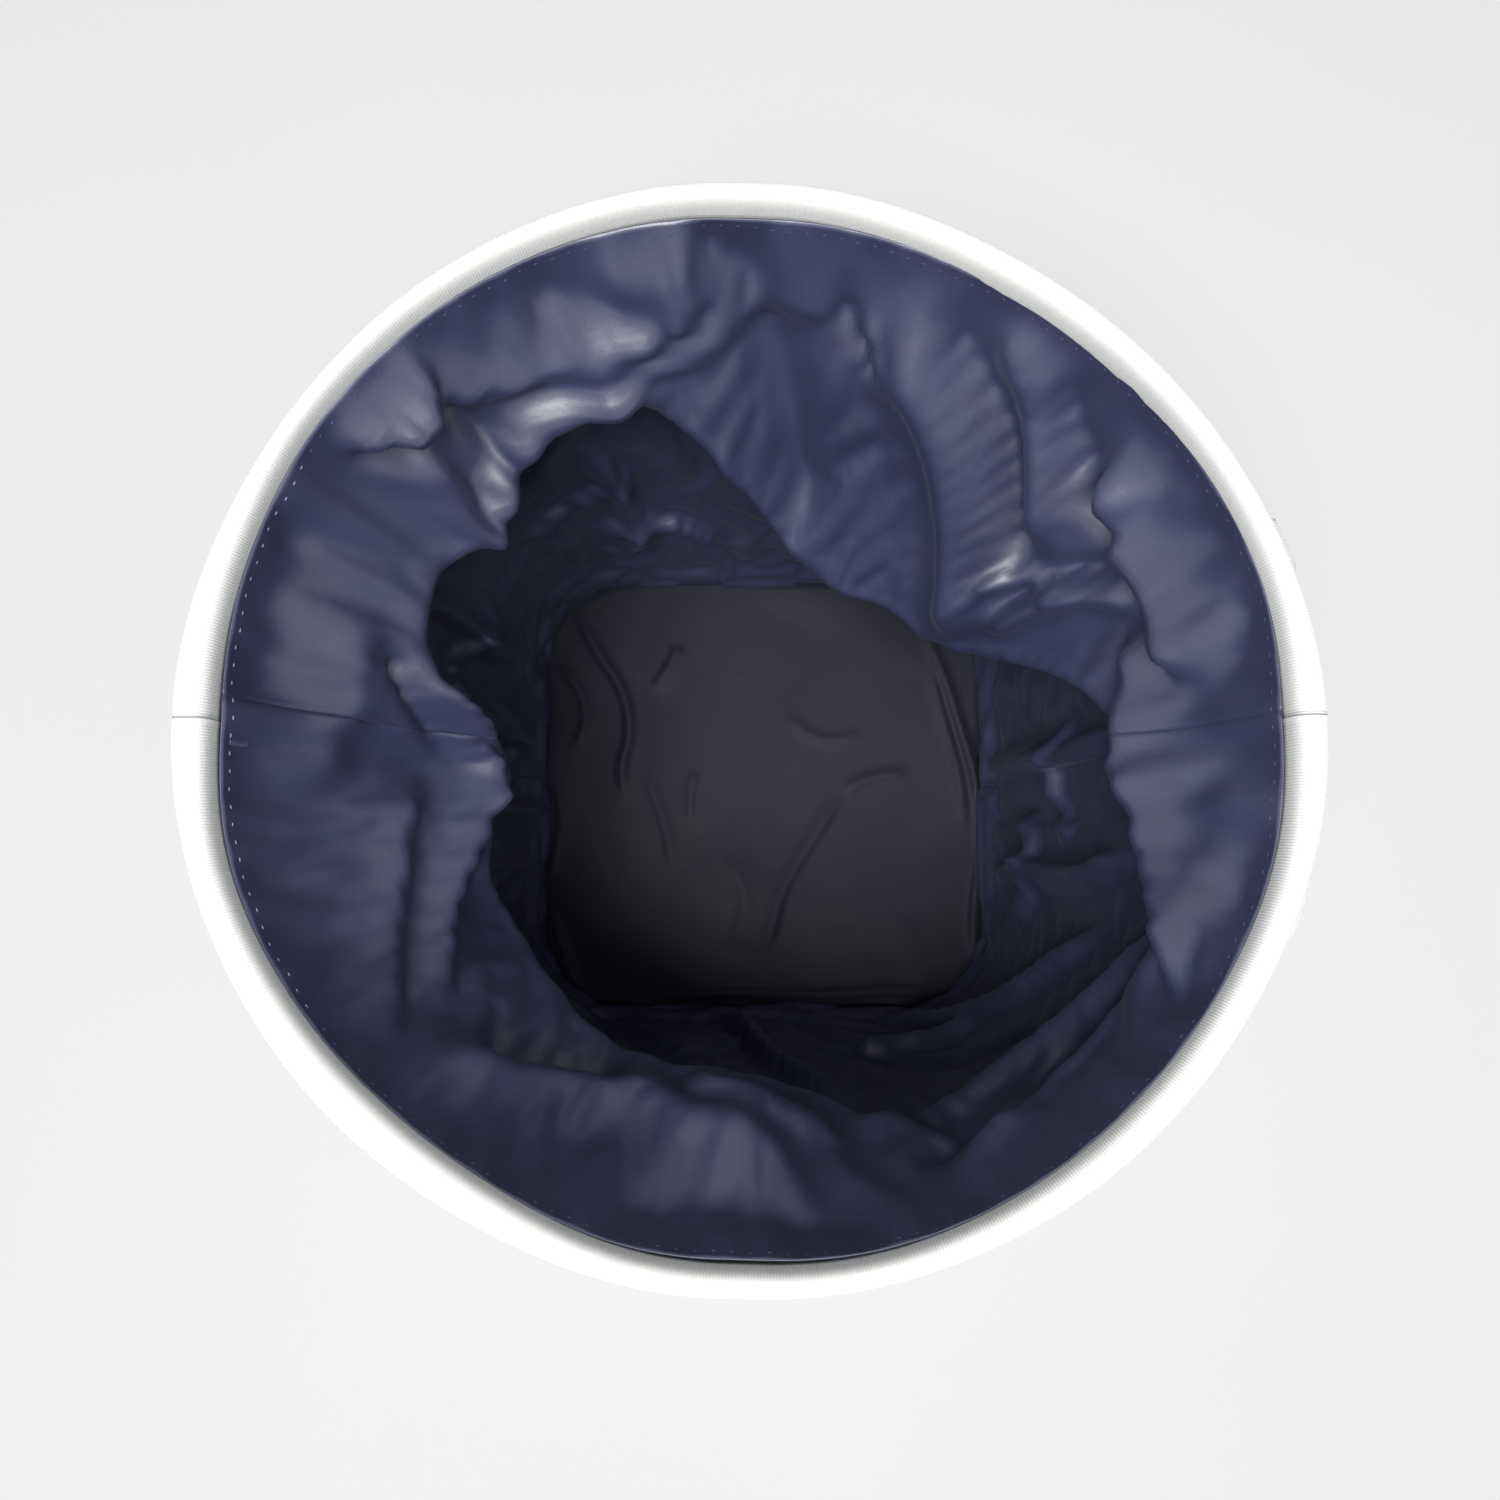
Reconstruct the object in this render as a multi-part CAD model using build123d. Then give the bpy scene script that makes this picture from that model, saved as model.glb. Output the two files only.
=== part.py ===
from build123d import *
import math
import os

# Soft fabric storage bin: a canvas shell with a thick turned-over rim, a loose lining,
# stiffened walls and base, and a hanging strap handle riveted to each side.
# Frame: origin at the centre of the underside, +Z up, front towards -Y.
# The side seams and the handles are at -X (left) and +X (right). Millimetres.

# Driving dimensions
HEIGHT = 320.0
RIM_WIDTH = 300.0
RIM_DEPTH = 289.0
RIM_CORNER = 143.5
BASE_WIDTH = 227.0
BASE_DEPTH = 222.0
BASE_CORNER = 45.0

CANVAS = 1.0
STIFFENER = 2.5
BOARD = 2.5
LINING = 0.8
PLY_GAP = 0.2

HEM_TALL = 14.0
HEM_WIDE = 10.0
HEM_ROUND = 4.6
HEM_UNDER_ROUND = 2.0

# How far the loose lining stands in from the shell's outside: (height, inset)
LINING_SLACK = [(4.9, 5.5), (70.0, 12.0), (200.0, 16.0), (305.8, 9.0)]

RIVET_HEIGHT = 272.0
RIVET_SPREAD = 92.0
POST_RADIUS = 2.0
POST_CLEARANCE = 0.2
CAP_RADIUS = 4.5
CAP_TALL = 1.6
BACK_RADIUS = 4.0
BACK_TALL = 1.6

STRAP_WIDE = 24.0
STRAP_END_TALL = 40.0
STRAP_THICK = 3.0
STRAP_CORNER = 3.0
GRIP_RADIUS = 5.5
LOOP_X = 151.2
LOOP_TOP = 292.0
LOOP_DROP = 118.0
LUG_TALL = 30.0
LUG_OVERLAP = 4.0
STRAP_GAP = 0.3
CAP_GAP = 0.4
DRILL_LONG = 30.0

STITCH_DROP = 2.5
STITCH_STAND = 0.7
STITCH_BEAD = 0.6
BARTACK_DROP = 6.0
BARTACK_STAND = 1.6
BARTACK_SIZE = (0.8, 2.0, 5.0)


# ---- the bin's tapering outline ----

def blend_up(base_value, rim_value, z):
    return base_value + (rim_value - base_value) * z / HEIGHT


def outline(z, inset=0.0):
    """Rounded rectangle of the shell at height z, moved inwards by inset."""
    width = blend_up(BASE_WIDTH, RIM_WIDTH, z) - 2 * inset
    depth = blend_up(BASE_DEPTH, RIM_DEPTH, z) - 2 * inset
    corner = blend_up(BASE_CORNER, RIM_CORNER, z) - inset
    return Pos(0, 0, z) * RectangleRounded(width, depth, corner)


def solid_between(stations):
    """Ruled solid through the outlines at (height, inset) stations."""
    pieces = []
    for (z_low, inset_low), (z_high, inset_high) in zip(stations, stations[1:]):
        pieces.append(loft([outline(z_low, inset_low), outline(z_high, inset_high)], ruled=True))
    return pieces[0] if len(pieces) == 1 else pieces[0].fuse(*pieces[1:])


def extended(stations, reach=1.0):
    """The same stations carried on a little past both ends, for a clean cut."""
    low, high = stations[0], stations[-1]
    return [(low[0] - reach, low[1])] + stations[1:-1] + [(high[0] + reach, high[1])]


def wall(stations, thickness):
    """Open tube that follows the stations on its outside."""
    inner = [(z, inset + thickness) for z, inset in stations]
    return solid_between(stations) - solid_between(extended(inner))


def front_half(part):
    return part & Pos(0, -RIM_DEPTH / 2 - PLY_GAP / 2, HEIGHT / 2) * Box(2 * RIM_WIDTH, RIM_DEPTH, 2 * HEIGHT)


def back_half(part):
    return part & Pos(0, RIM_DEPTH / 2 + PLY_GAP / 2, HEIGHT / 2) * Box(2 * RIM_WIDTH, RIM_DEPTH, 2 * HEIGHT)


def plate(z, inset, thickness):
    return extrude(outline(z, inset), thickness, dir=(0, 0, 1))


# ---- where the handles sit on the wall ----

def wall_plane(side, end):
    """Plane on the shell at a rivet: side -1 left, +1 right; end -1 front, +1 back."""
    half_width = blend_up(BASE_WIDTH, RIM_WIDTH, RIVET_HEIGHT) / 2
    half_depth = blend_up(BASE_DEPTH, RIM_DEPTH, RIVET_HEIGHT) / 2
    corner = blend_up(BASE_CORNER, RIM_CORNER, RIVET_HEIGHT)
    turn = math.asin((RIVET_SPREAD / 2 - (half_depth - corner)) / corner)
    corner_growth = RIM_CORNER - BASE_CORNER
    growth_x = (RIM_WIDTH - BASE_WIDTH) / 2 - corner_growth
    growth_y = (RIM_DEPTH - BASE_DEPTH) / 2 - corner_growth
    lean = (growth_x * math.cos(turn) + growth_y * math.sin(turn) + corner_growth) / HEIGHT
    x = half_width - corner + corner * math.cos(turn)
    origin = (side * x, end * RIVET_SPREAD / 2, RIVET_HEIGHT)
    tangent = (-side * end * math.sin(turn), math.cos(turn), 0)
    normal = (side * math.cos(turn), end * math.sin(turn), -lean)
    return Plane(origin=origin, x_dir=tangent, z_dir=normal)


def rivet_planes(side):
    return [wall_plane(side, end) for end in (-1, 1)]


def drill_rivet_holes(part):
    """Clearance holes for the four rivet posts."""
    for side in (-1, 1):
        for plane in rivet_planes(side):
            part -= plane * Cylinder(POST_RADIUS + POST_CLEARANCE, DRILL_LONG)
    return part


# ---- shell, stiffening and lining ----

def hem_bottom():
    return HEIGHT - HEM_TALL


def wall_foot():
    return CANVAS + PLY_GAP


def shell_wall():
    stations = [(wall_foot(), 0.0), (hem_bottom() - PLY_GAP, 0.0)]
    return drill_rivet_holes(wall(stations, CANVAS))


def stiffener_wall():
    inset = CANVAS + PLY_GAP
    stations = [(wall_foot(), inset), (hem_bottom() - PLY_GAP, inset)]
    return drill_rivet_holes(wall(stations, STIFFENER))


def lining_wall():
    return wall(LINING_SLACK, LINING)


def shell_base_panel():
    return plate(0.0, 0.0, CANVAS)


def base_board():
    return plate(wall_foot(), CANVAS + STIFFENER + 2 * PLY_GAP, BOARD)


def lining_base_panel():
    return plate(wall_foot() + BOARD + PLY_GAP, LINING_SLACK[0][1], LINING)


# ---- the rolled rim ----

def rim_ring(margin, top_round, under_round):
    """Ring of the hem's section, shrunk all round by margin."""
    low = hem_bottom() + margin
    outer = Pos(0, 0, low - HEIGHT) * outline(HEIGHT, margin)
    inner = Pos(0, 0, low - HEIGHT) * outline(HEIGHT, HEM_WIDE - margin)
    ring = extrude(outer - inner, HEM_TALL - 2 * margin, dir=(0, 0, 1))
    levels = ring.edges().group_by(Axis.Z)
    ring = fillet(levels[-1], top_round)
    return fillet(ring.edges().group_by(Axis.Z)[0], under_round)


def rim_hem():
    channel_round = HEM_ROUND - CANVAS
    return rim_ring(0.0, HEM_ROUND, HEM_UNDER_ROUND) - rim_ring(CANVAS, channel_round, CANVAS)


def rim_filler():
    margin = CANVAS + PLY_GAP
    return rim_ring(margin, HEM_ROUND - margin, CANVAS)


# ---- visible trim on the lining ----

def lining_stitch_line():
    """Thread bead just under the rim, on the lining's cavity side."""
    z = LINING_SLACK[-1][0] - STITCH_DROP
    inset = LINING_SLACK[-1][1] + LINING + STITCH_STAND
    ring = outline(z, inset) - outline(z, inset + STITCH_BEAD)
    return extrude(ring, STITCH_BEAD, dir=(0, 0, 1))


def lining_bartack():
    """Back-stitched end of the stitch line, at the left side seam."""
    z = LINING_SLACK[-1][0] - BARTACK_DROP
    x = blend_up(BASE_WIDTH, RIM_WIDTH, z) / 2 - LINING_SLACK[-1][1] - LINING - BARTACK_STAND
    return Pos(-x, 0.0, z) * Box(*BARTACK_SIZE)


# ---- handles ----

def strap_end(plane):
    """Flat end of the strap, held to the wall by its rivet."""
    flat = extrude(RectangleRounded(STRAP_WIDE, STRAP_END_TALL, STRAP_CORNER), STRAP_THICK)
    return plane * (Pos(0, 0, STRAP_GAP) * flat - Cylinder(POST_RADIUS + POST_CLEARANCE, DRILL_LONG))


def rivet(plane):
    """Domed cap on the strap, with its post through to the inside."""
    cap_seat = STRAP_THICK + CAP_GAP
    cap = Pos(0, 0, cap_seat + CAP_TALL / 2) * Cylinder(CAP_RADIUS, CAP_TALL)
    cap = fillet(cap.edges().group_by(Axis.Z)[-1], CAP_TALL * 0.75)
    post_length = cap_seat + CANVAS + STIFFENER + 3 * PLY_GAP
    post = Pos(0, 0, cap_seat - post_length / 2) * Cylinder(POST_RADIUS, post_length)
    return plane * (cap + post)


def rivet_back(plane):
    """Cap pressed on the post's inner end, under the lining."""
    seat = CANVAS + STIFFENER + 4 * PLY_GAP
    back = Pos(0, 0, -seat - BACK_TALL / 2) * Cylinder(BACK_RADIUS, BACK_TALL)
    return plane * fillet(back.edges().group_by(Axis.Z)[0], BACK_TALL / 2)


def handle_loop(side):
    """Hanging loop: two flat lugs under the fold line, joined by a rolled U-shaped grip."""
    half = RIVET_SPREAD / 2
    leg_top = LOOP_TOP - LUG_TALL + LUG_OVERLAP
    bend = LOOP_TOP - LOOP_DROP + half
    x = side * LOOP_X
    path = Polyline((x, -half, leg_top), (x, -half, bend))
    path += ThreePointArc((x, -half, bend), (x, 0, bend - half), (x, half, bend))
    path += Polyline((x, half, bend), (x, half, leg_top))
    start = Plane(origin=(x, -half, leg_top), z_dir=(0, 0, -1))
    loop = sweep(start * Circle(GRIP_RADIUS), path=path)
    for y in (-half, half):
        lug = Plane(origin=(x - STRAP_THICK / 2, y, LOOP_TOP - LUG_TALL / 2), x_dir=(0, 1, 0), z_dir=(1, 0, 0))
        loop += lug * extrude(RectangleRounded(STRAP_WIDE, LUG_TALL, STRAP_CORNER), STRAP_THICK)
    return loop


# ---- write one file for each sub-part ----

def group(parts):
    return Compound(children=parts)


def sub_parts():
    shell = shell_wall()
    stiffener = stiffener_wall()
    lining = lining_wall()
    hem = rim_hem()
    parts = {
        "shell_front_panel": front_half(shell),
        "shell_back_panel": back_half(shell),
        "shell_base_panel": shell_base_panel(),
        "stiffener_front": front_half(stiffener),
        "stiffener_back": back_half(stiffener),
        "base_board": base_board(),
        "lining_front_panel": front_half(lining),
        "lining_back_panel": back_half(lining),
        "lining_base_panel": lining_base_panel(),
        "rim_hem_front": front_half(hem),
        "rim_hem_back": back_half(hem),
        "rim_filler": rim_filler(),
        "lining_stitch_line": lining_stitch_line(),
        "lining_bartack": lining_bartack(),
    }
    for name, side in (("left", -1), ("right", 1)):
        front, back = rivet_planes(side)
        parts[f"handle_{name}_end_front"] = strap_end(front)
        parts[f"handle_{name}_end_back"] = strap_end(back)
        parts[f"handle_{name}_rivets"] = group([rivet(front), rivet(back)])
        parts[f"handle_{name}_rivet_backs"] = group([rivet_back(front), rivet_back(back)])
        parts[f"handle_{name}_loop"] = handle_loop(side)
    return parts


os.makedirs("parts", exist_ok=True)
for node, shape in sub_parts().items():
    export_step(shape, f"parts/{node}.step")
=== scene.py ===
import math

import bpy
import numpy as np
from mathutils import Matrix, Vector


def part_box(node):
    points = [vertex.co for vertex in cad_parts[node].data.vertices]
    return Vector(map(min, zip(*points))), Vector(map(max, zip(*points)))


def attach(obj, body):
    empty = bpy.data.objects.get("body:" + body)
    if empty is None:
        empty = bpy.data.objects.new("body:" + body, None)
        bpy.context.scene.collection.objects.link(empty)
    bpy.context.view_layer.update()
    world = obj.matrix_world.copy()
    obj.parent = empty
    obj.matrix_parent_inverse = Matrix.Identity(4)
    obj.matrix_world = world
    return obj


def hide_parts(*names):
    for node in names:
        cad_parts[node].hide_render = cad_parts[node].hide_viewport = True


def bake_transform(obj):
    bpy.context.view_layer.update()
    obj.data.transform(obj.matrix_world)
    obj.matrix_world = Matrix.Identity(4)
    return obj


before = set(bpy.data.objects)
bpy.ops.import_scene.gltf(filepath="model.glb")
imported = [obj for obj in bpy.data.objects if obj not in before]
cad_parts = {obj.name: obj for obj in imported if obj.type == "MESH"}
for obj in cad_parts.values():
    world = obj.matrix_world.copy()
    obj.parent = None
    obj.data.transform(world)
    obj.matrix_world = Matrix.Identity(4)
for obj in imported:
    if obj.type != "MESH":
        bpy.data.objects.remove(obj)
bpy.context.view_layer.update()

# ---- Sizes, in metres: from the frame, with the few that it doesn't hold ----
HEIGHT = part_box("rim_hem_front")[1][2]
HEM_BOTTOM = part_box("rim_hem_front")[0][2]
HALF_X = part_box("rim_hem_front")[1][0]
HALF_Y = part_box("rim_hem_back")[1][1]
BASE_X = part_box("shell_base_panel")[1][0]
BASE_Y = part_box("shell_base_panel")[1][1]
BOARD_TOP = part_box("base_board")[1][2]
RIM_CORNER = 0.1435
BASE_CORNER = 0.045

CANVAS = 0.0010
FELT = 0.0025
LINING = 0.0004
PLY_GAP = 0.0002
FELT_INSET = CANVAS + PLY_GAP
LINING_INSET = FELT_INSET + FELT + PLY_GAP + LINING

MM = 0.001
TURN = 2 * math.pi


# ---- The bin's tapering wall, as a surface over angle and height ----
def between(base_value, rim_value, z):
    return base_value + (rim_value - base_value) * z / HEIGHT


def outline_radius(angle, z, inset):
    """Distance from the bin's axis to its rounded-square outline."""
    c, s = np.abs(np.cos(angle)), np.abs(np.sin(angle))
    half_x = between(BASE_X, HALF_X, z) - inset
    half_y = between(BASE_Y, HALF_Y, z) - inset
    corner = between(BASE_CORNER, RIM_CORNER, z) - inset
    px, py = half_x - corner, half_y - corner
    along = px * c + py * s
    round_part = along + np.sqrt(np.maximum(along**2 - px**2 - py**2 + corner**2, 0))
    side_x = half_x / np.maximum(c, 1e-9)
    side_y = half_y / np.maximum(s, 1e-9)
    on_side_x = side_x * s <= py
    on_side_y = side_y * c <= px
    return np.where(on_side_x, side_x, np.where(on_side_y, side_y, round_part))


def waves(angle, terms):
    """Sum of (size, count, phase in degrees) cosines round the bin."""
    return sum(size * np.cos(count * angle - math.radians(phase)) for size, count, phase in terms)


# The soft rim is not a perfect oval: it has flatter diagonals and a few lazy bends.
RIM_DRIFT = [
    (-0.0016, 0, 0), (0.0011, 1, 223), (0.0011, 2, 247), (0.0006, 3, 297), (0.0015, 4, 13), (0.0003, 8, 341),
]


def drift(angle, z):
    """How far the soft wall stands out from its true outline."""
    rise = np.clip(z / HEIGHT, 0, 1)
    belly = np.sin(math.pi * rise)
    slack = waves(angle, [(0.0009, 6, 30), (0.0007, 9, 120)])
    return waves(angle, RIM_DRIFT) * rise**8 + slack * belly


def wall_point(angle, z, inset):
    radius = outline_radius(angle, z, inset) + drift(angle, z)
    return np.stack([radius * np.cos(angle), radius * np.sin(angle), z + 0 * radius], axis=-1)


# ---- Mesh helpers ----
def make_object(name, points, faces, uvs=None):
    mesh = bpy.data.meshes.new(name)
    mesh.from_pydata([tuple(p) for p in points], [], faces)
    if uvs is not None:
        layer = mesh.uv_layers.new(name="cloth")
        corner_points = np.zeros(len(mesh.loops), np.int32)
        mesh.loops.foreach_get("vertex_index", corner_points)
        layer.data.foreach_set("uv", np.asarray(uvs, float)[corner_points].ravel())
    mesh.shade_smooth()
    piece = bpy.data.objects.new(name, mesh)
    bpy.context.collection.objects.link(piece)
    return piece


def grid_faces(rows, columns, closed=False):
    """Quads of a grid whose points run row by row."""
    faces = []
    last = columns if closed else columns - 1
    for r in range(rows - 1):
        for c in range(last):
            n = (c + 1) % columns
            here, below = r * columns, (r + 1) * columns
            faces.append((here + c, here + n, below + n, below + c))
    return faces


def grid_object(name, points, closed=False, scale_u=1.0):
    """A sheet from points[row, column]; its UVs are metres along the cloth."""
    rows, columns = points.shape[:2]
    if closed:
        points = np.concatenate([points, points[:, :1]], axis=1)
        columns += 1
    across = np.linalg.norm(np.diff(points, axis=1), axis=2).mean(axis=0)
    down = np.linalg.norm(np.diff(points, axis=0), axis=2).mean(axis=1)
    u = np.concatenate([[0], np.cumsum(across)]) * scale_u
    v = np.concatenate([[0], np.cumsum(down)])
    uvs = np.stack(np.meshgrid(u, v), axis=-1).reshape(-1, 2)
    return make_object(name, points.reshape(-1, 3), grid_faces(rows, columns), uvs)


def add_modifier(piece, kind, **settings):
    modifier = piece.modifiers.new(kind.lower(), kind)
    for key, value in settings.items():
        setattr(modifier, key, value)
    return modifier


def smoothstep(x):
    x = np.clip(x, 0, 1)
    return x * x * (3 - 2 * x)


# ---- Materials ----
class Nodes:
    """Short hand for building one material's node tree."""

    def __init__(self, name):
        self.material = bpy.data.materials.new(name)
        self.material.use_nodes = True
        self.tree = self.material.node_tree
        self.shader = self.tree.nodes["Principled BSDF"]

    def add(self, kind, inputs=None, **settings):
        node = self.tree.nodes.new(kind)
        for key, value in settings.items():
            setattr(node, key, value)
        for key, value in (inputs or {}).items():
            self.feed(node.inputs[key], value)
        return node

    def feed(self, socket, value):
        if isinstance(value, bpy.types.NodeSocket):
            self.tree.links.new(value, socket)
        else:
            socket.default_value = value

    def math(self, operation, a, b=0.0, clamp=False):
        node = self.add("ShaderNodeMath", {0: a, 1: b}, operation=operation, use_clamp=clamp)
        return node.outputs[0]

    def cloth(self, u_scale, v_scale):
        """The cloth's own coordinates, in threads."""
        uv = self.add("ShaderNodeUVMap", uv_map="cloth").outputs[0]
        mapping = self.add("ShaderNodeMapping", {"Vector": uv})
        mapping.inputs["Scale"].default_value = (u_scale, v_scale, 1)
        return mapping.outputs[0]

    def noise(self, vector, scale, detail=3.0, roughness=0.5):
        inputs = {"Vector": vector, "Scale": scale, "Detail": detail, "Roughness": roughness}
        return self.add("ShaderNodeTexNoise", inputs).outputs["Fac"]

    def place(self):
        return self.add("ShaderNodeTexCoord").outputs["Object"]

    def ramp(self, factor, low, high, low_at=0.0, high_at=1.0):
        node = self.add("ShaderNodeValToRGB", {"Fac": factor})
        node.color_ramp.elements[0].position = low_at
        node.color_ramp.elements[1].position = high_at
        node.color_ramp.elements[0].color = (*low, 1)
        node.color_ramp.elements[1].color = (*high, 1)
        return node.outputs["Color"]

    def stripes(self, coordinate, axis):
        """A rounded wave, one period for each unit along the axis."""
        split = self.add("ShaderNodeSeparateXYZ", {"Vector": coordinate}).outputs[axis]
        turn = self.math("MULTIPLY", split, TURN)
        return self.math("MULTIPLY_ADD", self.math("SINE", turn), 0.5)

    def bump(self, height, distance, strength=1.0, normal=None):
        inputs = {"Height": height, "Distance": distance, "Strength": strength}
        if normal is not None:
            inputs["Normal"] = normal
        return self.add("ShaderNodeBump", inputs).outputs["Normal"]

    def set(self, **inputs):
        for key, value in inputs.items():
            self.feed(self.shader.inputs[key.replace("_", " ")], value)


def canvas_material(name, low, high, rib=0.0008):
    """Fine-ribbed heavy canvas: ribs across u, finer picks along v, mottled fibres."""
    m = Nodes(name)
    threads = m.cloth(1 / rib, 1 / (0.6 * rib))
    wobble = m.noise(m.place(), 90.0)
    ribs = m.stripes(threads, 0)
    picks = m.stripes(threads, 1)
    fibre = m.noise(m.place(), 900.0, 4.0, 0.6)
    weave = m.math("MULTIPLY_ADD", picks, 0.35)
    m.tree.links.new(ribs, weave.node.inputs[2])
    tone = m.math("ADD", m.math("MULTIPLY", wobble, 0.55), m.math("MULTIPLY", weave, 0.35))
    m.set(Base_Color=m.ramp(tone, low, high, 0.25, 0.85), Roughness=0.82)
    m.set(Sheen_Weight=0.25, Sheen_Roughness=0.5, Specular_IOR_Level=0.25)
    rough = m.bump(fibre, 0.00015, 0.5)
    m.set(Normal=m.bump(weave, 0.00012, 0.8, rough))
    return m.material


def satin_material(name, low, high, rough_low, rough_high, gloss):
    """Slack navy satin: fine warp lines, soft sheen, faint water-mark variation."""
    m = Nodes(name)
    threads = m.cloth(1 / 0.00035, 1 / 0.0011)
    place = m.place()
    cloudy = m.noise(place, 22.0, 3.0)
    streak = m.noise(threads, 1.0, 2.0, 0.6)
    tone = m.math("ADD", m.math("MULTIPLY", cloudy, 0.6), m.math("MULTIPLY", streak, 0.4))
    m.set(Base_Color=m.ramp(tone, low, high, 0.3, 0.7))
    spread = m.add("ShaderNodeMapRange", {"Value": tone, "From Min": 0.3, "From Max": 0.7})
    m.feed(spread.inputs["To Min"], rough_low)
    m.feed(spread.inputs["To Max"], rough_high)
    m.set(Roughness=spread.outputs[0], Specular_IOR_Level=gloss)
    m.set(Sheen_Weight=0.06, Sheen_Roughness=0.35, Sheen_Tint=(0.55, 0.58, 0.85, 1))
    weave = m.bump(streak, 0.00006, 0.6)
    rumple = m.noise(place, 160.0, 3.0, 0.55)
    m.set(Normal=m.bump(rumple, 0.0004, 0.25, weave))
    return m.material


def felt_material(name, low, high):
    m = Nodes(name)
    fibre = m.noise(m.place(), 700.0, 5.0, 0.65)
    m.set(Base_Color=m.ramp(fibre, low, high, 0.3, 0.7), Roughness=0.95, Sheen_Weight=0.3)
    m.set(Normal=m.bump(fibre, 0.0004, 0.6))
    return m.material


def board_material(name):
    m = Nodes(name)
    speck = m.noise(m.place(), 350.0, 5.0, 0.7)
    m.set(Base_Color=m.ramp(speck, (0.23, 0.18, 0.12), (0.42, 0.34, 0.24), 0.35, 0.65), Roughness=0.88)
    m.set(Normal=m.bump(speck, 0.0001, 0.5))
    return m.material


def thread_material(name, low, high):
    m = Nodes(name)
    twist = m.noise(m.place(), 2500.0, 2.0)
    m.set(Base_Color=m.ramp(twist, low, high, 0.3, 0.7), Roughness=0.55, Sheen_Weight=0.2)
    m.set(Normal=m.bump(twist, 0.0001, 0.5))
    return m.material


def nickel_material(name):
    """Dull nickel, lightly brushed and scuffed."""
    m = Nodes(name)
    place = m.place()
    drawn_out = m.add("ShaderNodeMapping", {"Vector": place, "Scale": (1, 9, 1)}).outputs[0]
    scratches = m.noise(drawn_out, 700.0, 4.0)
    smudge = m.noise(place, 260.0, 3.0)
    m.set(Base_Color=m.ramp(smudge, (0.42, 0.40, 0.37), (0.66, 0.64, 0.60), 0.3, 0.7), Metallic=1.0)
    rough = m.add("ShaderNodeMapRange", {"Value": scratches, "To Min": 0.22, "To Max": 0.5})
    m.set(Roughness=rough.outputs[0], Normal=m.bump(scratches, 0.00004, 0.4))
    return m.material


def floor_material(name):
    m = Nodes(name)
    mottle = m.noise(m.place(), 3.0, 3.0)
    m.set(Base_Color=m.ramp(mottle, (0.29, 0.29, 0.29), (0.31, 0.31, 0.31)), Roughness=0.9)
    m.set(Emission_Color=(1, 1, 1, 1), Emission_Strength=0.50)
    m.set(Specular_IOR_Level=0.1)
    return m.material


CANVAS_WHITE = canvas_material("canvas_white", (0.80, 0.81, 0.78), (0.90, 0.905, 0.87))
CANVAS_STRAP = canvas_material("canvas_strap", (0.76, 0.76, 0.72), (0.88, 0.88, 0.84), 0.0006)
LINING_SATIN = satin_material(
    "lining_satin", (0.030, 0.034, 0.080), (0.056, 0.062, 0.136), 0.32, 0.46, 1.3)
# Darker, greyer copy of the lining satin for the base panel: painted shade where the deep floor of the bin
# lies in shadow.
FLOOR_SATIN_SHADED = satin_material("floor_satin_painted_shade", (0.013, 0.014, 0.026), (0.022, 0.023, 0.040), 0.55, 0.7, 0.3)
FELT_GREY = felt_material("felt_grey", (0.55, 0.55, 0.53), (0.75, 0.75, 0.72))
FILLER_COTTON = felt_material("filler_cotton", (0.62, 0.60, 0.55), (0.82, 0.80, 0.74))
BOARD = board_material("fibre_board")
THREAD_NAVY = thread_material("thread_navy", (0.02, 0.022, 0.07), (0.06, 0.065, 0.16))
# Lighter copy of the navy thread for the stitches at the left: a painted highlight where the light falls on
# that side.
THREAD_NAVY_LIT = thread_material("thread_navy_painted_highlight", (0.16, 0.17, 0.30), (0.34, 0.36, 0.52))
THREAD_WHITE = thread_material("thread_white", (0.66, 0.66, 0.62), (0.86, 0.86, 0.82))
NICKEL = nickel_material("dull_nickel")


def dress(piece, material):
    piece.data.materials.clear()
    piece.data.materials.append(material)


# ---- Rolled rim ----
# Width of the roll seen from above: (angle in degrees, millimetres)
HEM_WIDTHS = [
    (0, 9.6), (15, 6.8), (30, 6.6), (50, 7.6), (75, 7.0), (95, 6.2), (148, 5.6), (165, 8.4), (180, 10.8),
    (195, 8.2), (210, 9.6), (226, 10.8), (240, 10.0), (256, 7.4), (285, 6.4), (315, 8.4), (345, 7.6),
]
HEM_AROUND = 256
HEM_RING = 28
SEWN_DOWN = 0.008    # the lining's edge is this far below the top of the rim


def round_the_bin(table, column, angle, soften):
    """Smooth periodic curve through one column of a table whose first column is degrees."""
    known = np.array(table, float)
    fine = np.arange(0, 360, 0.5)
    values = np.interp(fine, known[:, 0], known[:, column], period=360)
    reach = np.minimum(fine, 360 - fine)
    kernel = np.exp(-0.5 * (reach / soften) ** 2)
    smooth = np.fft.irfft(np.fft.rfft(values) * np.fft.rfft(kernel / kernel.sum()), len(fine))
    return np.interp(np.degrees(angle) % 360, fine, smooth, period=360)


def hem_width(angle):
    return round_the_bin(HEM_WIDTHS, 1, angle, 4.0) * MM


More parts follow.
